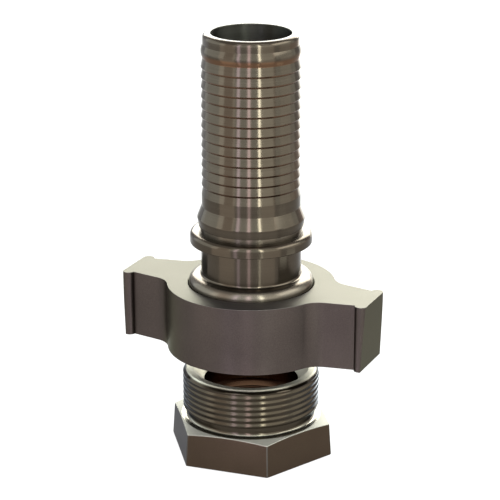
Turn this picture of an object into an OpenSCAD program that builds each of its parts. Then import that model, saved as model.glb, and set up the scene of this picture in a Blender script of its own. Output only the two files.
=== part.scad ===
// Ground joint hose coupling: a barbed hose stem, a two-lug wing nut and a threaded spud.
// The nut turns on the stem and draws the stem's cone down into the cone of the spud.
// Sizes are in millimetres, Z runs up the common axis, and the hexagon stands on Z = 0.

/* [Hose shank] */
// Diameter of the bore right through the stem
stem_bore = 42.1; // [36:0.1:46]
// Diameter over the crests of the barbs
barb_d = 52.3; // [51:0.1:54]
// Depth of a barb's step from its crest to the root below
barb_depth = 0.85; // [0.4:0.05:1.2]
// Distance from one barb to the next
barb_pitch = 5.25; // [4:0.05:6]
// Number of barbs
barb_count = 13; // [6:1:16]
// Length of the barrel-shaped bead above the barbs
bead_len = 7.35; // [5:0.05:10]
// Diameter of the plain band at the mouth
mouth_d = 50.5; // [48:0.1:51]
// Length of the plain band at the mouth
mouth_len = 5.6; // [3:0.1:10]
// Radius of the mouth's outer edge
mouth_round = 1; // [0.5:0.1:1.5]
// Length of the last taper below the barbs
tail_taper = 4.6; // [3:0.1:7]
// Length of the plain band below the last taper
band_len = 6.3; // [4:0.1:10]

/* [Hose stop and neck] */
// Diameter at the widest part of the flare
flare_d = 57.2; // [55:0.1:60]
// Length of the flare
flare_len = 6.5; // [4:0.1:9]
// Length of the taper back in below the flare
flare_back = 4.7; // [3:0.1:7]
// Diameter at the foot of that taper
flare_foot_d = 55.6; // [54.5:0.1:56.5]
// Diameter of the groove above the flange
groove_d = 54; // [52:0.1:54.4]
// Width of the groove above the flange
groove_w = 2.7; // [1.5:0.1:4]
// Diameter of the flange
flange_d = 65; // [60:0.1:66]
// Thickness of the flange
flange_t = 6.3; // [4:0.1:9]
// Radius of the flange's upper edge
flange_round = 1.2; // [0.5:0.1:2]
// Diameter of the neck between flange and journal
neck_d = 53.2; // [51:0.1:55]
// Length of the neck
neck_len = 18.1; // [10:0.1:30]
// Radius of the fillet at each end of the neck
neck_fillet = 1; // [0.5:0.1:2]

/* [Journal and ball end] */
// Diameter of the journal that the wing nut turns on
journal_d = 66.7; // [66.2:0.1:67]
// Length of the journal above the head
journal_len = 15.7; // [13:0.1:22]
// Radius of the journal's upper edge
journal_round = 3.2; // [1:0.1:5]
// Diameter of the head that the wing nut bears on
head_d = 70.2; // [69.6:0.1:70.4]
// Thickness of the head
head_t = 8; // [5:0.1:11]
// Chamfer round the head's lower edge
head_chamfer = 1.5; // [0.5:0.1:2.5]
// Length of the plain collar between head and ground cone
nose_collar = 1.5; // [1:0.1:3]

/* [Wing nut] */
// Diameter of the nut's round body
nut_d = 90.1; // [88:0.1:96]
// Height of the nut
nut_h = 36; // [32:0.1:42]
// Thickness of the web that bears on the head
web_t = 10.3; // [6:0.1:11]
// Distance over the ends of the lugs, at the top
lug_span = 141.1; // [125:0.1:160]
// Width of a lug between the middles of its two beads
lug_w = 23.6; // [20:0.1:23.8]
// Angle at which each side of a lug widens towards the body, in degrees
lug_taper = 10; // [0:0.5:12]
// Radius of the bead down each edge of a lug's end
lug_bead_r = 3.2; // [3.1:0.1:4]
// How far the middle of each bead lies behind the lug's end face
lug_bead_inset = 3.1; // [2:0.1:3.1]
// Width over a lug's two beads
lug_bead_w = 30.2; // [30:0.1:33]
// Radius of the hollow between body and lug
lug_fillet = 13; // [5:0.5:14]
// Draft of a lug's end face, in degrees
lug_draft = 3; // [0:0.5:6]
// Width of the relief groove above the thread
relief_w = 4; // [2:0.1:6]
// Depth of the relief groove behind the thread
relief_depth = 0.9; // [0.3:0.1:1.5]
// Lead-in chamfer at the mouth of the thread
nut_chamfer = 1.6; // [0.8:0.1:2.5]

/* [Spud] */
// Distance across the flats of the hexagon, at its foot
hex_af = 79.9; // [78:0.1:86]
// Height of the hexagon at the middle of a flat
hex_h = 19.1; // [14:0.1:26]
// Draft of the hexagon's flats, in degrees
hex_draft = 3.5; // [0:0.5:5]
// Slope of the hexagon's top chamfer, in degrees
hex_chamfer_slope = 11.4; // [5:0.1:30]
// How far inside the flats that chamfer starts
hex_face_inset = 0.5; // [0.2:0.1:2]
// Angle of the hexagon to the lugs, in degrees, as it happens to be screwed on
hex_turn = 4.85; // [0:0.05:60]
// Diameter of the plain neck below the thread
spud_neck_d = 68.6; // [67:0.1:70]
// Length of the plain neck below the thread
spud_neck_len = 5.7; // [3:0.1:9]
// Radius of the fillet where that neck meets the hexagon
spud_fillet = 2; // [0.5:0.1:3]
// Outer diameter of the spud's thread
thread_d = 74.1; // [73.6:0.1:74.5]
// Distance from one thread crest to the next, 8 to the inch
thread_pitch = 3.175; // [2.5:0.005:4]
// Depth of the thread
thread_depth = 1.8; // [1:0.1:2.1]
// Width of the flat on a thread crest
thread_crest = 0.6; // [0.3:0.1:1]
// Length of the thread, from the neck to the rim
thread_len = 21.2; // [14:0.1:28]
// Width of the chamfer round the rim, outside the flat
rim_chamfer = 2.2; // [1:0.1:2.6]
// Diameter of the ground cone at the rim
seat_d = 63; // [60:0.1:65]
// Depth of the ground cone
seat_depth = 7; // [5:0.1:10]
// Diameter of the spud's own bore
spud_bore = 51; // [46:0.1:54]
// Diameter of the hole for the pipe thread
pipe_d = 57.8; // [56:0.1:59]
// Length of the hole for the pipe thread
pipe_len = 25; // [18:0.1:28]
// Chamfer at the mouth of the pipe thread
pipe_chamfer = 1.6; // [0.8:0.1:2.5]

/* [Fits] */
// Turns by which the nut is unscrewed from the tight joint
turns_open = 9; // [4:1:12]
// Gap all round between the journal and the nut's hole
journal_gap = 0.35; // [0.2:0.05:0.5]
// Gap between the nut's web and the head
web_gap = 0.3; // [0.2:0.05:0.6]
// Least gap all round between the head and the crests of the nut's thread
head_gap = 0.45; // [0.3:0.05:0.8]
// Gap all round between the spud's thread and the nut's bore
thread_gap = 0.3; // [0.2:0.05:0.6]
// Gap between the two ground cones when the joint is closed
seat_gap = 0.3; // [0.1:0.05:0.6]

/* [Hidden] */
$fn = 128;
// Segments in a quarter of a small rounded edge
edge_steps = 8;
// Overlap by which joined and cut shapes pass each other
over = 1;
// How far a lug's hollow bites into the body and the lug's side, so that the walls cross cleanly
hollow_bite = 0.03;

// Heights of the spud, from the floor up
thread_z = hex_h + spud_neck_len;
rim_z = thread_z + thread_len;
seat_run = (seat_d - spud_bore) / 2;

// Heights of the stem, from the tip of its cone up to the mouth
stem_z = rim_z - seat_depth + turns_open * thread_pitch;
nose_top = seat_depth;
head_z = nose_top + nose_collar;
head_top = head_z + head_t;
journal_top = head_top + journal_len;
flange_z = journal_top + neck_len;
flange_top = flange_z + flange_t;
flare_foot = flange_top + groove_w;
flare_top = flare_foot + flare_back;
band_z = flare_top + flare_len;
taper_z = band_z + band_len;
barbs_z = taper_z + tail_taper;
bead_z = barbs_z + barb_count * barb_pitch;
mouth_z = bead_z + bead_len;
stem_top = mouth_z + mouth_len;
root_r = barb_d / 2 - barb_depth;

// Heights and radii of the nut, from its lower face up
web_z = nut_h - web_t;
nut_z = stem_z + head_top + web_gap - web_z;
nut_bore_r = max(thread_d / 2 + thread_gap, head_d / 2 + head_gap + thread_depth);
web_hole_r = journal_d / 2 + journal_gap;

// Points along an arc about c, from angle a0 to angle a1
function arc(c, r, a0, a1) = [
    for (i = [0 : edge_steps])
    let (a = a0 + (a1 - a0) * i / edge_steps)
    c + r * [cos(a), sin(a)]
];

// Outline of one barb in radius and height: a cone that widens downward to a sharp step
function barb(z) = [
    [barb_d / 2, z],
    [root_r, z + barb_pitch]
];

// Outline of the barrel-shaped bead: it swells from the root to the barb crest and back
function bead(z) = [
    for (i = [1 : 2 * edge_steps])
    let (t = i / (2 * edge_steps))
    [root_r + barb_depth * sin(180 * t), z + bead_len * t]
];

// The stem is turned from one bar: its outline runs up the outside and back down the bore
module stem_section() {
    nose_r = seat_d / 2 - seat_gap;
    polygon(concat(
        [[stem_bore / 2, 0], [nose_r - seat_run, 0], [nose_r, nose_top], [nose_r, head_z]],
        [[head_d / 2 - head_chamfer, head_z], [head_d / 2, head_z + head_chamfer]],
        [[head_d / 2, head_top], [journal_d / 2, head_top]],
        arc([journal_d / 2 - journal_round, journal_top - journal_round], journal_round, 0, 90),
        arc([neck_d / 2 + neck_fillet, journal_top + neck_fillet], neck_fillet, 270, 180),
        arc([neck_d / 2 + neck_fillet, flange_z - neck_fillet], neck_fillet, 180, 90),
        [[flange_d / 2, flange_z]],
        arc([flange_d / 2 - flange_round, flange_top - flange_round], flange_round, 0, 90),
        [[groove_d / 2, flange_top], [groove_d / 2, flare_foot]],
        [[flare_foot_d / 2, flare_foot], [flare_d / 2, flare_top]],
        [[barb_d / 2, band_z], [barb_d / 2, taper_z], [root_r, barbs_z]],
        [for (i = [0 : barb_count - 1]) each barb(barbs_z + i * barb_pitch)],
        bead(bead_z),
        [[mouth_d / 2, mouth_z]],
        arc([mouth_d / 2 - mouth_round, stem_top - mouth_round], mouth_round, 0, 90),
        [[stem_bore / 2, stem_top]]
    ));
}

module hose_stem() {
    color("darkgray")
    translate([0, 0, stem_z])
    rotate_extrude()
    stem_section();
}

// Plan of the nut: a round body, and two lugs whose sides run into it by a hollow
module nut_plan() {
    shoulder = [lug_span / 2 - lug_bead_inset, lug_w / 2];
    outward = [sin(lug_taper), cos(lug_taper)];
    inward = [cos(lug_taper), -sin(lug_taper)];
    hold = lug_fillet - hollow_bite;
    reach = outward * shoulder + hold;
    hollow = reach * outward + sqrt(pow(nut_d / 2 + hold, 2) - pow(reach, 2)) * inward;
    circle(d = nut_d);
    for (side = [0, 180])
    rotate(side)
    for (edge = [0, 1])
    mirror([0, edge])
    difference() {
        polygon([[0, -over], [0, 0], hollow, hollow - hold * outward, shoulder,
            [shoulder.x, -over]]);
        translate(hollow)
        circle(r = lug_fillet);
    }
}

// End of one lug: a block with a round bead down each upright edge, cut off at the draft
module lug_end() {
    end_x = lug_span / 2;
    root_x = end_x - 4 * lug_bead_r;
    foot_x = end_x - nut_h * tan(lug_draft);
    bead_y = lug_bead_w / 2 - lug_bead_r;
    intersection() {
        rotate([90, 0, 0])
        linear_extrude(2 * lug_bead_w, center = true)
        polygon([[root_x, 0], [foot_x, 0], [end_x, nut_h], [root_x, nut_h]]);
        union() {
            translate([root_x - over, -bead_y, -over])
            cube([end_x - root_x + 2 * over, 2 * bead_y, nut_h + 2 * over]);
            for (edge = [-1, 1])
            translate([end_x - lug_bead_inset, edge * bead_y, -over])
            cylinder(h = nut_h + 2 * over, r = lug_bead_r);
        }
    }
}

// The hollow inside the nut: lead-in, thread bore, relief and the hole for the journal
module nut_cavity() {
    relief_r = nut_bore_r + relief_depth;
    translate([0, 0, -over])
    cylinder(h = web_z + over, r = nut_bore_r);
    translate([0, 0, -over])
    cylinder(h = nut_chamfer + over, r1 = nut_bore_r + nut_chamfer + over, r2 = nut_bore_r);
    translate([0, 0, web_z - relief_w])
    cylinder(h = relief_w, r = relief_r);
    cylinder(h = nut_h + over, r = web_hole_r);
}

module wing_nut() {
    color("rosybrown")
    translate([0, 0, nut_z])
    difference() {
        union() {
            linear_extrude(nut_h)
            nut_plan();
            for (side = [0, 180])
            rotate(side)
            lug_end();
        }
        nut_cavity();
    }
}

// The hexagon's three pairs of drafted flats, which meet the turned outline from inside
module hex_prism() {
    foot = hex_af / 2;
    head = foot - rim_z * tan(hex_draft);
    intersection_for(pair = [0, 60, 120])
    rotate(pair + hex_turn + 30)
    rotate([90, 0, 0])
    linear_extrude(2 * hex_af, center = true)
    polygon([[-foot, 0], [foot, 0], [head, rim_z], [-head, rim_z]]);
}

// Outline of the hexagon's blank: a disc whose top slopes away outside the flats
module hex_blank_section() {
    corner = hex_af / sqrt(3);
    flat_r = hex_af / 2 - hex_h * tan(hex_draft) - hex_face_inset;
    fall = (corner - flat_r) * tan(hex_chamfer_slope);
    polygon([[0, 0], [corner + over, 0], [corner + over, hex_h - fall], [corner, hex_h - fall],
        [flat_r, hex_h], [0, hex_h]]);
}

// Outline of the thread: rings of the true pitch and depth, trimmed by the rim's chamfer
module thread_section() {
    crest_r = thread_d / 2;
    core_r = crest_r - thread_depth;
    flank = thread_depth * tan(30);
    rings = ceil(thread_len / thread_pitch);
    intersection() {
        union() {
            translate([0, thread_z])
            square([core_r, thread_len]);
            for (i = [0 : rings])
            translate([0, thread_z + i * thread_pitch])
            polygon([[0, 0], [core_r, 0], [crest_r, flank], [crest_r, flank + thread_crest],
                [core_r, 2 * flank + thread_crest], [0, 2 * flank + thread_crest]]);
        }
        polygon([[0, thread_z], [crest_r, thread_z], [crest_r, rim_z - rim_chamfer],
            [crest_r - rim_chamfer, rim_z], [0, rim_z]]);
    }
}

// Outline of the neck, with its fillet on to the hexagon
module spud_neck_section() {
    r = spud_neck_d / 2;
    polygon(concat([[0, hex_h - over], [r + spud_fillet, hex_h - over]],
        arc([r + spud_fillet, hex_h + spud_fillet], spud_fillet, 270, 180),
        [[r, thread_z + over], [0, thread_z + over]]));
}

// The way through the spud: pipe thread below, plain bore, ground cone at the rim
module spud_bore_section() {
    step = (pipe_d - spud_bore) / 2;
    polygon([[0, -over], [pipe_d / 2 + pipe_chamfer + over, -over], [pipe_d / 2, pipe_chamfer],
        [pipe_d / 2, pipe_len], [spud_bore / 2, pipe_len + step], [spud_bore / 2, rim_z - seat_depth],
        [seat_d / 2, rim_z], [seat_d / 2, rim_z + over], [0, rim_z + over]]);
}

module spud() {
    color("darkkhaki")
    difference() {
        union() {
            intersection() {
                hex_prism();
                rotate_extrude()
                hex_blank_section();
            }
            rotate_extrude()
            spud_neck_section();
            rotate_extrude()
            thread_section();
        }
        rotate_extrude()
        spud_bore_section();
    }
}

hose_stem();
wing_nut();
spud();
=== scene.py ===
import bpy
import math
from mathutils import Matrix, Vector


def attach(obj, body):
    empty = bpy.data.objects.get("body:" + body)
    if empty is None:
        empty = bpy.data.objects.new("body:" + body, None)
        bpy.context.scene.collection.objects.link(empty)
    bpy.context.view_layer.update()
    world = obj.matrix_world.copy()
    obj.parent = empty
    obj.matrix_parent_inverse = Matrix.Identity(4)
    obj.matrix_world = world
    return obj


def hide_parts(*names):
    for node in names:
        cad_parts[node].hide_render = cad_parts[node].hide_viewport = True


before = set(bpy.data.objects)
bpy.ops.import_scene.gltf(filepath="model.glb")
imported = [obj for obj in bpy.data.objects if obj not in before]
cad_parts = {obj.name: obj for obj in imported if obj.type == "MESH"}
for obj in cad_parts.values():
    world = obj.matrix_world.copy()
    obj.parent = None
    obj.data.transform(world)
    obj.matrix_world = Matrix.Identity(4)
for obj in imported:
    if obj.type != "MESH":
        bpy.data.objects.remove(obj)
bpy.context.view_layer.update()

scene = bpy.context.scene
scene.view_settings.view_transform = "Standard"

# Camera: it stands about a metre from the coupling's axis, to the right of its front and well above
# its mouth, and looks down on the nut, as the photograph does.
camera_turn = math.radians(24.1)
camera_dip = math.radians(18.735)
camera_nudge = math.radians(0.035)
camera_reach = 0.975
camera_height = 0.4429
bpy.ops.object.camera_add(
    location=(camera_reach * math.sin(camera_turn), -camera_reach * math.cos(camera_turn), camera_height),
    rotation=(math.pi / 2 - camera_dip, 0, camera_turn + camera_nudge),
)
camera = bpy.context.object
camera.data.sensor_width = 36
camera.data.lens = 139.2
camera.data.clip_start = 0.01
scene.camera = camera


# Floor and backdrop: one plain white sheet under the coupling, and white air all round it.
# The sheet glows, so that it stays white, and its matt share keeps the soft shadow at the hexagon's foot.
class Wire:
    """A value on its way through a shader: sums and products of wires add Math nodes."""

    def __init__(self, tree, socket=None):
        self.tree = tree
        self.socket = socket

    def node(self, kind, settings=(), links=(), out=0):
        """Adds a node, with its settings and its inputs given by name or number, and returns one output."""
        made = self.tree.nodes.new(kind)
        for name, value in settings:
            setattr(made, name, value)
        for name, value in links:
            if isinstance(value, Wire):
                self.tree.links.new(value.socket, made.inputs[name])
            else:
                made.inputs[name].default_value = value
        return Wire(self.tree, made.outputs[out] if len(made.outputs) else None)

    def math(self, operation, a, b=0.0, clamp=False):
        settings = [("operation", operation), ("use_clamp", clamp)]
        return self.node("ShaderNodeMath", settings, [(0, a), (1, b)])

    def __add__(self, other):
        return self.math("ADD", self, other)

    def __radd__(self, other):
        return self.math("ADD", other, self)

    def __sub__(self, other):
        return self.math("SUBTRACT", self, other)

    def __rsub__(self, other):
        return self.math("SUBTRACT", other, self)

    def __mul__(self, other):
        return self.math("MULTIPLY", self, other)

    def __rmul__(self, other):
        return self.math("MULTIPLY", other, self)

    def between(self, low, high):
        """0 where the value is at low or under it, 1 at high or over it, smooth in between."""
        return self.node(
            "ShaderNodeMapRange",
            [("interpolation_type", "SMOOTHSTEP")],
            [("Value", self), ("From Min", low), ("From Max", high)],
        )

    def blend(self, first, second):
        """The first colour where this value is 0, the second where it is 1."""
        factor, colour_a, colour_b, colour_out = 0, 6, 7, 2
        links = [(factor, self), (colour_a, first), (colour_b, second)]
        return self.node("ShaderNodeMix", [("data_type", "RGBA")], links, out=colour_out)


def blank_material(name):
    """A new material with no nodes, and the wire from which its nodes are added."""
    made = bpy.data.materials.new(name)
    made.use_nodes = True
    made.node_tree.nodes.clear()
    return made, Wire(made.node_tree)


def seen_directly(wire):
    """1 on camera, mirror and see-through rays, which all meet the same white."""
    outputs = wire.node("ShaderNodeLightPath").socket.node.outputs
    camera_ray = Wire(wire.tree, outputs["Is Camera Ray"])
    glossy_ray = Wire(wire.tree, outputs["Is Glossy Ray"])
    clear_ray = Wire(wire.tree, outputs["Is Transmission Ray"])
    return wire.math("ADD", camera_ray + glossy_ray, clear_ray, clamp=True)


white = (1, 1, 1, 1)
paper_white = (0.93, 0.93, 0.93, 1)
paper_matt_share = 0.16
paper_size = 12
paper_drop = 0.0003
air_fill_strength = 0.85

bpy.ops.object.select_all(action="DESELECT")
bpy.ops.mesh.primitive_plane_add(size=paper_size, location=(0, 0, -paper_drop))
floor = bpy.context.object
floor.name = "floor"
paper, paper_wire = blank_material("floor_paper")
paper_glow = paper_wire.node("ShaderNodeEmission", [], [("Color", white), ("Strength", 1.0)])
paper_matt = paper_wire.node("ShaderNodeBsdfDiffuse", [], [("Color", paper_white)])
paper_layers = [(0, paper_matt_share), (1, paper_glow), (2, paper_matt)]
paper_mix = paper_wire.node("ShaderNodeMixShader", [], paper_layers)
paper_wire.node("ShaderNodeOutputMaterial", [], [("Surface", paper_mix)])
floor.data.materials.append(paper)

world = bpy.data.worlds.new("studio_air")
scene.world = world
world.use_nodes = True
world.node_tree.nodes.clear()
air = Wire(world.node_tree)
air_seen = air.node("ShaderNodeBackground", [], [("Color", white), ("Strength", 1.0)])
air_fill = air.node("ShaderNodeBackground", [], [("Color", white), ("Strength", air_fill_strength)])
air_mix = air.node("ShaderNodeMixShader", [], [(0, seen_directly(air)), (1, air_fill), (2, air_seen)])
air.node("ShaderNodeOutputWorld", [], [("Surface", air_mix)])


# Lights: upright soft panels round the coupling, none of them seen by the camera. Narrow strips in
# front draw the streaks down the turned steel, and the panels behind light the level faces.
lavender = (0.78, 0.69, 1.0)
pink = (0.94, 0.79, 1.0)
cream = (0.92, 1.0, 0.95)
cool = (0.86, 1.0, 0.98)
cold = (0.6, 0.75, 1.0)
amber = (1.0, 0.50, 0.22)
warm = (1.0, 0.9, 0.8)
watts_for_area = 4


def panel(name, aside, distance, width, low, high, glow, colour):
    """A panel standing aside from the camera's direction, in degrees, from low to high, facing the axis."""
    turn = camera_turn + math.radians(aside)
    place = (distance * math.sin(turn), -distance * math.cos(turn), (low + high) / 2)
    bpy.ops.object.light_add(type="AREA", location=place, rotation=(math.pi / 2, 0, turn))
    light = bpy.context.object
    light.name = name
    light.data.shape = "RECTANGLE"
    light.data.size = width
    light.data.size_y = high - low
    light.data.color = colour
    light.data.energy = glow * watts_for_area * width * (high - low)
    light.visible_camera = False


# Name, degrees aside, distance, width, low and high ends in metres, glow, colour
for row in (
    ("strip_lavender_low", -27.7, 0.25, 0.025, 0.002, 0.40, 1.8, lavender),
    ("strip_lavender", -28.5, 0.50, 0.060, 0.10, 0.70, 2.6, lavender),
    ("strip_pink_low", -4.7, 0.25, 0.025, 0.002, 0.40, 2.4, pink),
    ("strip_pink", -4.9, 0.50, 0.058, 0.10, 0.70, 2.6, pink),
    ("cool_middle", -5, 0.55, 0.42, 0.10, 0.70, 0.20, (0.65, 0.88, 1.0)),
    ("strip_cream", 18.5, 0.50, 0.044, 0.10, 0.70, 15.0, cream),
    ("strip_cream_low", 18.5, 0.25, 0.018, 0.016, 0.052, 4.0, cream),
    ("strip_lavender_foot", -23.8, 0.10, 0.008, 0.002, 0.034, 4.5, lavender),
    ("strip_pink_foot", -5.2, 0.10, 0.008, 0.002, 0.034, 4.5, pink),
    ("strip_cream_foot", 13.5, 0.10, 0.008, 0.002, 0.034, 4.0, cream),
    ("left_low", -56, 0.30, 0.21, 0.002, 0.40, 0.8, warm),
    ("right_low", 38, 0.30, 0.17, 0.002, 0.40, 0.7, (1.0, 0.95, 0.85)),
    ("right_far", 85, 0.60, 0.34, 0.002, 0.26, 0.45, warm),
    ("right_neck", 76, 0.25, 0.085, 0.024, 0.048, 1.6, cool),
    ("warm_low", 124, 0.56, 0.50, 0.055, 0.125, 0.45, amber),
    ("front_soft", 5, 1.5, 3.2, 0.0, 1.3, 1.1, cool),
    ("front_high", 5, 1.0, 2.2, 1.3, 2.3, 2.0, cool),
    ("left_soft", -98, 1.5, 2.0, 0.0, 1.3, 1.5, (0.80, 0.95, 1.0)),
    ("right_high", 80, 1.2, 1.2, 0.55, 1.5, 4.0, (0.95, 1.0, 0.98)),
    ("right_soft", 88, 1.5, 1.8, 0.0, 1.3, 0.9, cool),
    ("right_edge", 157, 0.60, 0.34, 0.0, 0.50, 3.0, (1.0, 1.0, 0.93)),
    ("right_edge_foot", 126, 0.080, 0.055, 0.002, 0.026, 5.0, (1.0, 1.0, 0.93)),
    ("left_edge", -130, 0.60, 0.25, 0.0, 0.50, 0.5, cold),
    ("back_soft", 172, 2.4, 2.8, 0.55, 2.2, 10.0, (0.97, 1.0, 0.96)),
):
    panel(*row)


# Hose stem: turned in one piece from steel bar, with the barbed hose shank above, the flange and
# groove for the hose clamp below it, then the journal, the head and the ground cone inside the nut.
bore_r = 21.05
stem_foot = 67.575
cone_tip_r = 25.2
cone_r = 31.2
cone_top = stem_foot + 7
head_foot = stem_foot + 8.5
head_chamfer = 1.5
head_r = 35.1
head_top = 84.075
journal_r = 33.35
journal_top = 99.775
neck_r = 26.6
flange_r = 32.5
flange_foot = 117.875
flange_top = 124.175
groove_r = 27.0
flare_foot_r = 27.8
flare_foot = 126.875
flare_r = 28.6
flare_top = 131.575
band_foot = 138.075
band_top = 144.375
barb_root = 25.3
barb_crest = 26.15
barb_count = 13
barb_pitch = 5.25
barb_foot = 148.975
barb_step_above = 0.75
barb_step_below = 0.4
bead_foot = barb_foot + barb_count * barb_pitch
bead_top = bead_foot + 7.35
mouth_r = 25.25
mouth_top = 230.175
arc_step = 15
steps_round = 144
full_turn = 2 * math.pi
merge_gap = 2e-7


def closed_up(piece, smooth_under):
    """Merges doubles, turns the faces outwards and shades curved faces smooth."""
    bpy.ops.object.mode_set(mode="EDIT")
    bpy.ops.mesh.select_mode(type="VERT")
    bpy.ops.mesh.select_all(action="SELECT")
    bpy.ops.mesh.remove_doubles(threshold=merge_gap)
    bpy.ops.mesh.dissolve_degenerate(threshold=merge_gap / 2)
    bpy.ops.mesh.normals_make_consistent(inside=False)
    bpy.ops.object.mode_set(mode="OBJECT")
    bpy.ops.object.shade_smooth_by_angle(angle=math.radians(smooth_under))
    bpy.ops.object.modifier_add(type="WEIGHTED_NORMAL")
    weighted = piece.modifiers[-1]
    weighted.keep_sharp = True
    bpy.ops.object.modifier_apply(modifier=weighted.name)


def outline_ring(name, points):
    """A wire loop standing in the XZ plane, with one vertex at each point of a turned outline."""
    bpy.ops.object.select_all(action="DESELECT")
    bpy.ops.mesh.primitive_circle_add(vertices=len(points), radius=0.01, fill_type="NOTHING")
    piece = bpy.context.object
    piece.name = name
    for vertex, (radius, height) in zip(piece.data.vertices, points):
        vertex.co = (radius / 1000, 0, height / 1000)
    return piece


def rounded(corners):
    """A closed turned outline, in which each corner that has a third number is an arc of that radius."""
    points = []
    for number, (radius, height, *bend) in enumerate(corners):
        corner = Vector((radius, height))
        if not bend:
            points.append(corner)
            continue
        back = (Vector(corners[number - 1][:2]) - corner).normalized()
        ahead = (Vector(corners[(number + 1) % len(corners)][:2]) - corner).normalized()
        half = back.angle(ahead) / 2
        middle = corner + (back + ahead).normalized() * bend[0] / math.sin(half)
        start = corner + back * bend[0] / math.tan(half) - middle
        end = corner + ahead * bend[0] / math.tan(half) - middle
        steps = max(2, round(math.degrees(start.angle(end)) / arc_step))
        for step in range(steps + 1):
            points.append(middle + bend[0] * start.slerp(end, step / steps))
    return points


def bulge(low, high, root, swell, steps):
    """Points of a barrel-shaped bead that swells from the root radius and back."""
    return [
        (root + swell * math.sin(math.pi * i / steps), low + (high - low) * i / steps)
        for i in range(1, steps + 1)
    ]


stem_corners = [
    (bore_r, stem_foot, 0.25), (cone_tip_r, stem_foot, 0.25), (cone_r, cone_top, 0.25), (cone_r, head_foot),
    (head_r - head_chamfer, head_foot, 0.25), (head_r, head_foot + head_chamfer, 0.25), (head_r, head_top, 0.4),
    (journal_r, head_top), (journal_r, journal_top, 4.4),
    (neck_r, journal_top, 1.2), (neck_r, flange_foot, 1.0),
    (flange_r, flange_foot, 0.4), (flange_r, flange_top, 2.6),
    (groove_r, flange_top), (groove_r, flare_foot),
    (flare_foot_r, flare_foot, 0.25), (flare_r, flare_top, 1.5),
    (barb_crest, band_foot, 0.6), (barb_crest, band_top, 0.3), (barb_root, barb_foot - barb_step_below),
]
for barb in range(barb_count):
    step_edge = barb_foot + barb * barb_pitch
    next_step = barb_step_below if barb < barb_count - 1 else 0
    stem_corners.append((barb_crest, step_edge + barb_step_above, 0.12))
    stem_corners.append((barb_root, step_edge + barb_pitch - next_step))
stem_corners += bulge(bead_foot, bead_top, barb_root, barb_crest - barb_root, 14)
stem_corners += [(mouth_r, bead_top), (mouth_r, mouth_top, 2.4), (bore_r, mouth_top, 0.4)]
stem = outline_ring("hose_stem_turned", rounded(stem_corners))
bpy.ops.object.mode_set(mode="EDIT")
bpy.ops.mesh.select_all(action="SELECT")
bpy.ops.mesh.spin(
    steps=steps_round, angle=full_turn, center=(0, 0, 0), axis=(0, 0, 1), use_auto_merge=False,
)
closed_up(stem, smooth_under=34)


def object_place(wire):
    """Object coordinates, and in millimetres the height and the distance from the axis."""
    place = wire.node("ShaderNodeTexCoord", [], [], out="Object")
    split = wire.node("ShaderNodeSeparateXYZ", [], [("Vector", place)])
    x, y, z = (Wire(wire.tree, split.socket.node.outputs[axis]) * 1000.0 for axis in "XYZ")
    radius = wire.math("SQRT", x * x + y * y)
    return place, z, radius


def tool_marks(wire, radius, z, per_mm, detail=3.0):
    """Fine rings round the axis, as a lathe tool leaves them on cylinders and on faces."""
    section = wire.node("ShaderNodeCombineXYZ", [], [("X", radius * per_mm), ("Z", z * per_mm)])
    return wire.node("ShaderNodeTexNoise", [], [("Vector", section), ("Scale", 1.0), ("Detail", detail)])


def grain(wire, place, per_mm, detail):
    """Even grain of that many grains to the millimetre, from 0 to 1."""
    links = [("Vector", place), ("Scale", per_mm * 1000.0), ("Detail", detail)]
    return wire.node("ShaderNodeTexNoise", [], links)


def upper_edge_highlight(wire):
    """1 on the rounded edges between upright and level upper faces, where a lighter colour paints an edge
    highlight.
    """
    facing = wire.node("ShaderNodeTexCoord", [], [], out="Normal")
    upward = wire.node("ShaderNodeSeparateXYZ", [], [("Vector", facing)], out="Z")
    return upward.between(0.2, 0.5) * (1 - upward.between(0.8, 0.95))


def metal(wire, colour, roughness, marks, depth, edge_tint, streak=0.0):
    """The finished metal: its colour, its shine, its marks and their depth in metres."""
    bump = wire.node("ShaderNodeBump", [], [("Strength", 1.0), ("Distance", depth), ("Height", marks)])
    shade = wire.node("ShaderNodeBsdfPrincipled", [], [
        ("Base Color", colour), ("Metallic", 1.0), ("Roughness", roughness), ("Normal", bump),
        ("Specular Tint", edge_tint), ("Anisotropic", streak), ("Anisotropic Rotation", 0.25),
    ])
    wire.node("ShaderNodeOutputMaterial", [], [("Surface", shade)])


steel, steel_wire = blank_material("stem_steel_turned")
place, z, radius = object_place(steel_wire)
fine_rings = tool_marks(steel_wire, radius, z, 5.0)
broad_rings = tool_marks(steel_wire, radius, z, 0.7, 2.0)
cloud = grain(steel_wire, place, 0.06, 3.0)
tone = (fine_rings * 0.4 + broad_rings * 0.3 + cloud * 0.3).between(0.3, 0.7)
turned_colour = tone.blend((0.048, 0.038, 0.028, 1), (0.064, 0.052, 0.039, 1))
# Inside the bore the steel is darker and greyer: painted shade.
bore_light_and_shade_colour = tone.blend((0.040, 0.038, 0.031, 1), (0.053, 0.051, 0.043, 1))
painted_sheen_colour = tone.blend((0.115, 0.096, 0.076, 1), (0.145, 0.125, 0.10, 1))
warm_reflection_colour = tone.blend((0.080, 0.043, 0.024, 1), (0.105, 0.058, 0.033, 1))
step_reflection_colour = tone.blend((0.125, 0.068, 0.040, 1), (0.155, 0.086, 0.052, 1))

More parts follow.
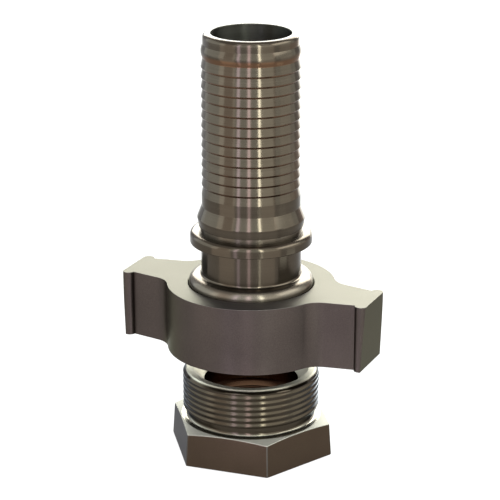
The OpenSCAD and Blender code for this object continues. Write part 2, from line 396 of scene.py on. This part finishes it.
in_bore = 1 - radius.between(bore_r + 0.35, bore_r + 0.95)
# The steps under the barbs get a lighter brown: a painted reflection.
step_rise = steel_wire.math("PINGPONG", z - (barb_foot + 0.18), barb_pitch / 2)
above_first_step = z.between(barb_foot - 0.975, barb_foot - 0.675)
last_step = barb_foot + (barb_count - 1) * barb_pitch
above_last_step = z.between(last_step + 1.225, last_step + 1.625)
on_step = (1 - step_rise.between(0.35, 0.65)) * above_first_step * (1 - above_last_step)
# The lower part of the bead turns red-brown: a painted warm reflection.
under_bead = z.between(bead_foot - 0.2, bead_foot + 0.3) * (1 - z.between(bead_foot + 2.0, bead_foot + 3.6))
# On the journal's shoulder and in the groove above the flange the colour is lighter: a painted highlight on the
# same steel.
round_fade = z.between(journal_top - 3.275, journal_top - 0.775)
above_journal = z.between(journal_top + 1.225, journal_top + 1.725)
shoulder = (0.6 - round_fade * 0.2) * (1 - above_journal) * radius.between(neck_r + 0.2, neck_r + 0.9)
above_flange = z.between(flange_top - 0.275, flange_top - 0.075)
in_groove = above_flange * (1 - z.between(flare_foot - 0.275, flare_foot + 0.325))

shank_colour = on_step.blend((under_bead * 0.9).blend(turned_colour, warm_reflection_colour), step_reflection_colour)
outer_colour = (shoulder + in_groove * 0.35).blend(shank_colour, painted_sheen_colour)
steel_colour = in_bore.blend(outer_colour, bore_light_and_shade_colour)
steel_shine = 0.14 + broad_rings * 0.05 + cloud * 0.03 + in_bore * 0.20 + shoulder * 0.15 + in_groove * 0.08
metal(
    steel_wire, steel_colour, steel_shine, fine_rings,
    depth=0.0000012, edge_tint=(0.65, 0.65, 0.65, 1), streak=0.8,
)
stem.data.materials.append(steel)
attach(stem, "stem")
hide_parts("hose_stem")


# Spud: one steel piece, with a drafted hexagon below, a turned neck, a male thread of 8 to the inch
# that the nut screws on to, the ground cone at its rim, a bore, and a female pipe thread from below.
hex_foot_r = 39.95
hex_top = 19.1
hex_turn = math.radians(4.85)
hex_draft = math.tan(math.radians(3.5))
hex_slope = math.tan(math.radians(11.4))
hex_flat_r = hex_foot_r - hex_top * hex_draft - 0.5
hex_level_r = 38.28
hex_corner_round = 0.9
hex_corner_r = 45.99
half_side = math.pi / 6
spud_neck_r = 34.3
spud_fillet = 2
spud_neck_top = 24.8
thread_lead = 3.175
thread_crest_r = 37.05
thread_depth = 0.55
wave_steps = 12
rim_top = 46.0
rim_chamfer = 2.2
seat_r = 31.5
seat_foot = 39.0
spud_bore_r = 25.5
narrow_foot = 28.5
wide_top = 25.1
pipe_bore_r = 28.9
pipe_thread_foot = 1.6
pipe_thread_top = 22.0
pipe_mouth_r = 30.5
pipe_taper = 1 / 32
pipe_lead = 25.4 / 11.5
pipe_crest_r = 29.0
pipe_root_r = 30.35
pipe_profile = [
    (0, pipe_crest_r), (0.15, pipe_crest_r), (1.02, pipe_root_r),
    (1.19, pipe_root_r), (2.06, pipe_crest_r), (pipe_lead, pipe_crest_r),
]
male_profile = [
    (
        thread_lead * i / wave_steps,
        thread_crest_r - thread_depth * (0.5 + 0.5 * math.cos(full_turn * i / wave_steps)),
    )
    for i in range(wave_steps + 1)
]


def wound_section(piece, section, angles):
    """Spins a wire outline round the axis, then sets each copy of it to the section at its angle."""
    count = len(piece.data.vertices)
    bpy.ops.object.mode_set(mode="EDIT")
    bpy.ops.mesh.select_all(action="SELECT")
    bpy.ops.mesh.spin(
        steps=len(angles) - 1, angle=-full_turn, center=(0, 0, 0), axis=(0, 0, 1), use_auto_merge=False,
    )
    bpy.ops.object.mode_set(mode="OBJECT")
    sections = [section(angle) for angle in angles]
    for number, vertex in enumerate(piece.data.vertices):
        angle = angles[number // count]
        radius, height = sections[number // count][number % count]
        vertex.co = Vector((radius * math.cos(angle), radius * math.sin(angle), height)) / 1000


def thread_rows(profile, lead, low, high, start, angle, trim):
    """The rows of a thread where it passes one angle: profile gives radius by height within a lead."""
    def radius_at(height):
        along = (height - start - lead * angle / full_turn) % lead
        for (z0, r0), (z1, r1) in zip(profile, profile[1:]):
            if along <= z1:
                return r0 + (r1 - r0) * (along - z0) / (z1 - z0)
        return profile[-1][1]

    first = math.floor((low - start) / lead) - 1
    last = math.ceil((high - start) / lead)
    heights = [low]
    for turn in range(first, last + 1):
        for rise, _ in profile[:-1]:
            height = start + lead * (turn + angle / full_turn) + rise
            heights.append(min(max(height, low), high))
    heights.append(high)
    return [(trim(radius_at(height), height), height) for height in heights]


def hexagon_radius(angle, height):
    """Distance from the axis to the hexagon's side, with its upright edges a little rounded."""
    flat = hex_foot_r - height * hex_draft
    off_corner = (angle - hex_turn + half_side) % (2 * half_side) - half_side
    middle = (flat - hex_corner_round) / math.cos(half_side)
    reach = hex_corner_round ** 2 - (middle * math.sin(off_corner)) ** 2
    across = flat / math.cos(half_side - abs(off_corner))
    if reach <= 0:
        return across
    return min(across, middle * math.cos(off_corner) + math.sqrt(reach))


def hexagon_top(angle):
    """Radius and height at which the hexagon's side meets the sloping chamfer."""
    height = hex_top
    for _ in range(6):
        height = hex_top - max(0.0, hexagon_radius(angle, height) - hex_flat_r) * hex_slope
    return hexagon_radius(angle, height), height


def spud_section(angle):
    """The spud's outline at one angle: up the hexagon, neck and thread, over the rim and down the bore."""
    foot_r = hexagon_radius(angle, 0)
    corner_r, corner_z = hexagon_top(angle)
    points = [(pipe_mouth_r, 0.0), (foot_r - 0.5, 0.0), (foot_r - 0.15, 0.12)]
    points += [(hexagon_radius(angle, height), height) for height in (0.5, 9.0, corner_z - 0.55)]
    points += [(corner_r - 0.04, corner_z - 0.22), (corner_r - 0.22, corner_z)]
    points += [(corner_r - 0.55, corner_z + 0.55 * hex_slope)]
    points += [(min(hex_level_r, corner_r - 0.46), hex_top), (37.6, hex_top)]
    fillet_r = spud_neck_r + spud_fillet
    for step in range(7):
        bend = math.radians(270 - arc_step * step)
        rise = spud_fillet + spud_fillet * math.sin(bend)
        points.append((fillet_r + spud_fillet * math.cos(bend), hex_top + rise))
    points += [(spud_neck_r, 23.2), (spud_neck_r, spud_neck_top - 0.05)]
    points += thread_rows(
        male_profile, thread_lead, spud_neck_top, rim_top, spud_neck_top, angle,
        lambda radius, height: min(radius, thread_crest_r - max(0.0, height - (rim_top - rim_chamfer))),
    )
    points += [(34.6, rim_top), (34.5, rim_top), (seat_r + 0.15, rim_top)]
    points += [(seat_r - 0.05, rim_top - 0.08), (seat_r - 0.15, rim_top - 0.3)]
    points += [(spud_bore_r + 0.15, seat_foot + 0.15), (spud_bore_r + 0.02, seat_foot - 0.05)]
    points += [(spud_bore_r, seat_foot - 0.3), (spud_bore_r, narrow_foot)]
    points += [(pipe_bore_r, wide_top), (pipe_bore_r, pipe_thread_top + 0.1)]
    pipe_rows = thread_rows(
        pipe_profile, pipe_lead, pipe_thread_foot, pipe_thread_top, pipe_thread_foot, angle,
        lambda radius, height: max(radius - height * pipe_taper, pipe_mouth_r - height),
    )
    points += reversed(pipe_rows)
    return points


corner_steps = [-0.55, -0.35, -0.18, 0.0, 0.18, 0.35, 0.55, 1.2, 2.2]
side_steps = [3.6 + 3.3 * i for i in range(17)] + [57.8, 58.8]
spud_angles = [
    math.radians(60 * side + step) + hex_turn
    for side in range(6) for step in corner_steps + side_steps
]
spud_angles.append(spud_angles[0] + full_turn)
spud = outline_ring("spud_threaded", spud_section(spud_angles[0]))
wound_section(spud, spud_section, spud_angles)
closed_up(spud, smooth_under=30)

spud_metal, spud_wire = blank_material("spud_steel_satin")
place, z, radius = object_place(spud_wire)
fine_rings = tool_marks(spud_wire, radius, z, 5.0)
cloud = grain(spud_wire, place, 0.05, 3.0)
skin = grain(spud_wire, place, 2.2, 3.0)
tone = (fine_rings * 0.4 + cloud * 0.3 + skin * 0.3).between(0.3, 0.7)
turned_colour = tone.blend((0.036, 0.028, 0.020, 1), (0.048, 0.039, 0.028, 1))
rolled_colour = tone.blend((0.044, 0.030, 0.021, 1), (0.057, 0.040, 0.027, 1))
bore_light_and_shade_colour = tone.blend((0.13, 0.07, 0.04, 1), (0.16, 0.09, 0.052, 1))
top_highlight_colour = tone.blend((0.29, 0.28, 0.24, 1), (0.36, 0.345, 0.30, 1))
machined_and_sheen_colour = tone.blend((0.46, 0.43, 0.345, 1), (0.57, 0.53, 0.43, 1))
edge_highlight_colour = tone.blend((0.058, 0.050, 0.043, 1), (0.090, 0.082, 0.072, 1))

on_hexagon = radius.between(hex_level_r - 0.48, hex_level_r - 0.08)
slope_line = hex_top + hex_level_r * hex_slope
# The hexagon's sloping top gets a much lighter colour than its sides: a painted highlight on the same steel.
on_top = on_hexagon * (z + radius * hex_slope).between(slope_line - 0.25, slope_line - 0.1)
# Inside the bore the colour is orange-brown: a painted lit wall.
in_bore = (1 - radius.between(29.5, 30.5)) * (1 - z.between(seat_foot - 0.3, seat_foot))
# Seat and rim get a light colour, partly their machined finish and partly a painted highlight; the neck's low
# fillet gets some of it as painted highlight only.
on_seat = (1 - radius.between(seat_r + 0.1, seat_r + 0.5)) * z.between(seat_foot - 0.2, seat_foot + 0.1)
on_rim = z.between(rim_top - 1, rim_top - 0.2)
low_on_fillet = radius.between(32.0, 33.0) * (1 - z.between(hex_top + 0.1, hex_top + 1.3)) * 0.4
machined_and_sheen = spud_wire.math("ADD", on_seat + (1 - on_hexagon) * low_on_fillet, on_rim, clamp=True)
# The hexagon's upper edges and upright corners get a lighter colour: a painted edge highlight.
foot_reach = radius + z * (hex_draft / math.cos(half_side))
on_corner = on_hexagon * foot_reach.between(hex_corner_r - 0.15, hex_corner_r - 0.02)
edge_highlight = spud_wire.math("MAXIMUM", upper_edge_highlight(spud_wire) * on_hexagon, on_corner)

outer_colour = edge_highlight.blend(on_hexagon.blend(turned_colour, rolled_colour), edge_highlight_colour)
outer_colour = machined_and_sheen.blend(in_bore.blend(outer_colour, bore_light_and_shade_colour), machined_and_sheen_colour)
spud_colour = on_top.blend(outer_colour, top_highlight_colour)
spud_shine = 0.13 + fine_rings * 0.06 + on_hexagon * (0.19 + skin * 0.06) + on_top * 0.32 + machined_and_sheen * 0.27
spud_marks = fine_rings * (1 - on_hexagon) + skin * on_hexagon * 1.2
metal(spud_wire, spud_colour, spud_shine, spud_marks, depth=0.000002, edge_tint=(0.50, 0.53, 0.57, 1))
spud.data.materials.append(spud_metal)
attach(spud, "spud")
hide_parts("spud")


# Wing nut: forged in one piece of iron, with two lugs to strike with a hammer, each with a bead down
# its upright edges. Its top is a web round the journal, and a female thread is cut inside it.
nut_foot = 58.675
nut_top = 94.675
nut_r = 45.05
lug_end = 70.55
lug_reach = 72.5
lug_slope = math.radians(10)
lug_draft = math.radians(3)
bead_r = 3.2
bead_middle = Vector((67.45, 11.9))
lug_shoulder = Vector((67.45, 11.8))
hollow_r = 13
edge_round = 0.0006
thread_gap = 0.3
nut_mouth_r = 38.95
relief_r = 38.25
relief_foot = 80.375
web_foot = 84.375
hole_r = 33.7


def arc_points(middle, radius, start, end, steps):
    """Points along an arc in the plan, from the angle start to the angle end."""
    angles = [start + (end - start) * i / steps for i in range(steps + 1)]
    return [middle + radius * Vector((math.cos(angle), math.sin(angle))) for angle in angles]


outward = Vector((math.sin(lug_slope), math.cos(lug_slope)))
inward = Vector((math.cos(lug_slope), -math.sin(lug_slope)))
reach = outward.dot(lug_shoulder) + hollow_r
hollow_middle = reach * outward + math.sqrt((nut_r + hollow_r) ** 2 - reach ** 2) * inward

# The crease where the lug's side runs into its bead
side_gap = outward.dot(bead_middle) - outward.dot(lug_shoulder)
crease_back = math.sqrt(bead_r ** 2 - side_gap ** 2)
crease = bead_middle - side_gap * outward - crease_back * inward
crease_angle = math.atan2(*(crease - bead_middle).yx)

# A quarter of the plan, from the lug's end round the bead, along the side and hollow to the body
quarter = [Vector((lug_reach, y)) for y in (0, 6, bead_middle.y)]
quarter += arc_points(bead_middle, bead_r, 0, crease_angle % full_turn, 18)
side_end = hollow_middle - hollow_r * outward
quarter += [crease.lerp(side_end, share) for share in (0.05, 0.35, 0.65, 0.98)]
to_body = math.atan2(*(-hollow_middle).yx) % full_turn
to_side = math.atan2(*(-outward).yx) % full_turn
quarter += arc_points(hollow_middle, hollow_r, to_side, to_body, 16)
body_angle = math.atan2(hollow_middle.y, hollow_middle.x)
quarter += arc_points(Vector((0, 0)), nut_r, body_angle, math.pi / 2, 40)[1:]
plan = list(quarter)
plan += [Vector((-p.x, p.y)) for p in reversed(quarter[1:-1])]
plan += [Vector((-p.x, -p.y)) for p in quarter[:-1]]
plan += [Vector((p.x, -p.y)) for p in reversed(quarter[1:])]

bpy.ops.object.select_all(action="DESELECT")
bpy.ops.mesh.primitive_circle_add(vertices=len(plan), radius=0.05, fill_type="NGON")
nut = bpy.context.object
nut.name = "wing_nut_forged"
for vertex, point in zip(nut.data.vertices, plan):
    vertex.co = (point.x / 1000, point.y / 1000, nut_foot / 1000)
bpy.ops.object.mode_set(mode="EDIT")
bpy.ops.mesh.select_all(action="SELECT")
bpy.ops.mesh.extrude_region_move(TRANSFORM_OT_translate={"value": (0, 0, (nut_top - nut_foot) / 1000)})
for side in (1, -1):
    bpy.ops.mesh.select_all(action="SELECT")
    bpy.ops.mesh.bisect(
        plane_co=(side * lug_end / 1000, 0, nut_top / 1000),
        plane_no=(side * math.cos(lug_draft), 0, -math.sin(lug_draft)),
        use_fill=True, clear_outer=True, clear_inner=False,
    )
bpy.ops.mesh.select_all(action="SELECT")
bpy.ops.mesh.remove_doubles(threshold=1e-6)
bpy.ops.mesh.normals_make_consistent(inside=False)
bpy.ops.object.mode_set(mode="OBJECT")


def edge_turns(mesh):
    """For each edge, how far its two faces turn from one to the other, in degrees."""
    faces_of = {}
    for face in mesh.polygons:
        for key in face.edge_keys:
            faces_of.setdefault(key, []).append(face.normal.copy())
    turns = {}
    for edge in mesh.edges:
        normals = faces_of.get(edge.key, [])
        if len(normals) == 2:
            turns[edge.index] = math.degrees(normals[0].angle(normals[1], 0))
    return turns


def choose(mesh, kind, wanted):
    """Selects the edges or faces that pass the test, and nothing else, in edit mode."""
    bpy.ops.object.mode_set(mode="EDIT")
    bpy.ops.mesh.select_mode(type=kind)
    bpy.ops.mesh.select_all(action="DESELECT")
    bpy.ops.object.mode_set(mode="OBJECT")
    for part in {"EDGE": mesh.edges, "FACE": mesh.polygons}[kind]:
        part.select = wanted(part)
    bpy.ops.object.mode_set(mode="EDIT")


turns = edge_turns(nut.data)


def sharp_outside(edge):
    """True for the nut's sharp edges, apart from the creases beside the beads, which stay crisp."""
    ends = [nut.data.vertices[i].co for i in edge.vertices]
    upright = abs(ends[0].z - ends[1].z) > 0.01
    at_crease = upright and all(abs(abs(co.x) - crease.x / 1000) < 0.0015 for co in ends)
    return turns.get(edge.index, 0) > 25 and not at_crease


choose(nut.data, "EDGE", sharp_outside)
bpy.ops.mesh.bevel(offset=edge_round, segments=3, affect="EDGES", clamp_overlap=True)
bpy.ops.object.mode_set(mode="OBJECT")

# The level faces come off again, and the turned and threaded inside goes in between them
choose(nut.data, "FACE", lambda face: abs(face.normal.z) > 0.999 and len(face.vertices) > 40)
bpy.ops.mesh.delete(type="ONLY_FACE")
bpy.ops.object.mode_set(mode="OBJECT")

nut_profile = [(rise, radius + thread_gap) for rise, radius in male_profile]


def nut_inside(angle):
    """The nut's inside at one angle: up from the thread's mouth, past the relief and through the web."""
    points = [(nut_mouth_r + 0.3, nut_foot), (nut_mouth_r + 0.1, nut_foot + 0.06)]
    points += thread_rows(
        nut_profile, thread_lead, nut_foot + 0.2, relief_foot, spud_neck_top, angle,
        lambda radius, height: max(radius, nut_mouth_r - (height - nut_foot)),
    )
    points += [(relief_r - 0.15, relief_foot), (relief_r, relief_foot + 0.175)]
    points += [(relief_r, web_foot - 0.175), (relief_r - 0.15, web_foot)]
    points += [(hole_r + 0.25, web_foot), (hole_r + 0.05, web_foot + 0.075), (hole_r, web_foot + 0.275)]
    points += [(hole_r, nut_top - 0.6), (hole_r + 0.08, nut_top - 0.28)]
    points += [(hole_r + 0.3, nut_top - 0.08), (hole_r + 0.6, nut_top)]
    return points


inside_angles = [full_turn * i / steps_round for i in range(steps_round + 1)]
inside_points = nut_inside(0)
inside = outline_ring("nut_inside", inside_points)
choose(inside.data, "EDGE", lambda edge: set(edge.vertices) == {0, len(inside_points) - 1})
bpy.ops.mesh.delete(type="EDGE_FACE")
bpy.ops.object.mode_set(mode="OBJECT")
wound_section(inside, nut_inside, inside_angles)
bpy.ops.object.mode_set(mode="EDIT")
bpy.ops.mesh.select_all(action="SELECT")
bpy.ops.mesh.remove_doubles(threshold=merge_gap)
bpy.ops.object.mode_set(mode="OBJECT")

bpy.ops.object.select_all(action="DESELECT")
inside.select_set(True)
nut.select_set(True)
bpy.context.view_layer.objects.active = nut
bpy.ops.object.join()
for level in (nut_foot / 1000, nut_top / 1000):
    sides = {}
    for face in nut.data.polygons:
        for key in face.edge_keys:
            sides[key] = sides.get(key, 0) + 1

    def open_rim(edge):
        """True for the edges at this level that have a face on one side only."""
        at_level = all(abs(nut.data.vertices[i].co.z - level) < 1e-6 for i in edge.vertices)
        return at_level and sides.get(edge.key, 0) == 1

    choose(nut.data, "EDGE", open_rim)
    bpy.ops.mesh.fill(use_beauty=True)
    bpy.ops.object.mode_set(mode="OBJECT")
closed_up(nut, smooth_under=30)

iron, iron_wire = blank_material("nut_iron_forged")
place, z, radius = object_place(iron_wire)
skin = grain(iron_wire, place, 1.6, 4.0)
fine_skin = grain(iron_wire, place, 4.5, 2.0)
cloud = grain(iron_wire, place, 0.05, 3.0)
tone = (skin * 0.4 + fine_skin * 0.4 + cloud * 0.2).between(0.25, 0.75)
side_colour = tone.blend((0.042, 0.033, 0.030, 1), (0.069, 0.055, 0.049, 1))
lit_top_colour = tone.blend((0.076, 0.067, 0.066, 1), (0.100, 0.088, 0.087, 1))
edge_highlight_colour = tone.blend((0.105, 0.094, 0.082, 1), (0.155, 0.140, 0.124, 1))
# The level top is lighter than the sides: the same iron with a painted lit top. The upper rounded edges are
# lighter still: a painted edge highlight.
on_top = z.between(nut_top - 0.275, nut_top - 0.025)
iron_colour = upper_edge_highlight(iron_wire).blend(on_top.blend(side_colour, lit_top_colour), edge_highlight_colour)
iron_shine = 0.31 + skin * 0.10 + on_top * 0.10
iron_marks = skin * 0.6 + fine_skin * 0.6
metal(iron_wire, iron_colour, iron_shine, iron_marks, depth=0.00002, edge_tint=(0.58, 0.60, 0.53, 1))
nut.data.materials.append(iron)
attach(nut, "nut")
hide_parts("wing_nut")
